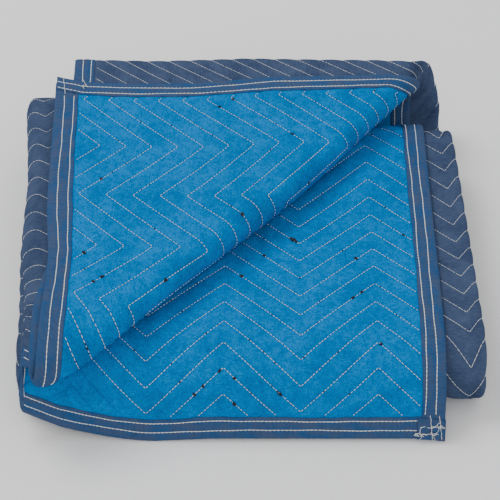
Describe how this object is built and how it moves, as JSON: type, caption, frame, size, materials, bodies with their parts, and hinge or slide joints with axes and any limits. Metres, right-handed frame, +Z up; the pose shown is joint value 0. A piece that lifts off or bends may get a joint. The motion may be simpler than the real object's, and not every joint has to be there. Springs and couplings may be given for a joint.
{
  "type": "moving blanket",
  "caption": "Quilted moving blanket folded into a square pack, its top corner laid back to show the lining, with bound and stitched edges.",
  "frame": {"origin": "middle of the pack's footprint, on the surface it lies on", "axes": "+X to the right along the near edge, +Y away from the near draped edge, +Z up"},
  "size_m": [0.56, 0.588, 0.1435],
  "materials": {
    "quilted_pad": "felted, quilted",
    "binding_side_a": "woven",
    "binding_side_b": "woven",
    "binding_near_end": "woven",
    "binding_inner_end": "woven"
  },
  "bodies": {
    "root": {"quilted_pad": "quilted_pad", "binding_side_a": "binding_side_a", "binding_side_b": "binding_side_b", "binding_near_end": "binding_near_end", "binding_inner_end": "binding_inner_end"}
  },
  "joints": []
}
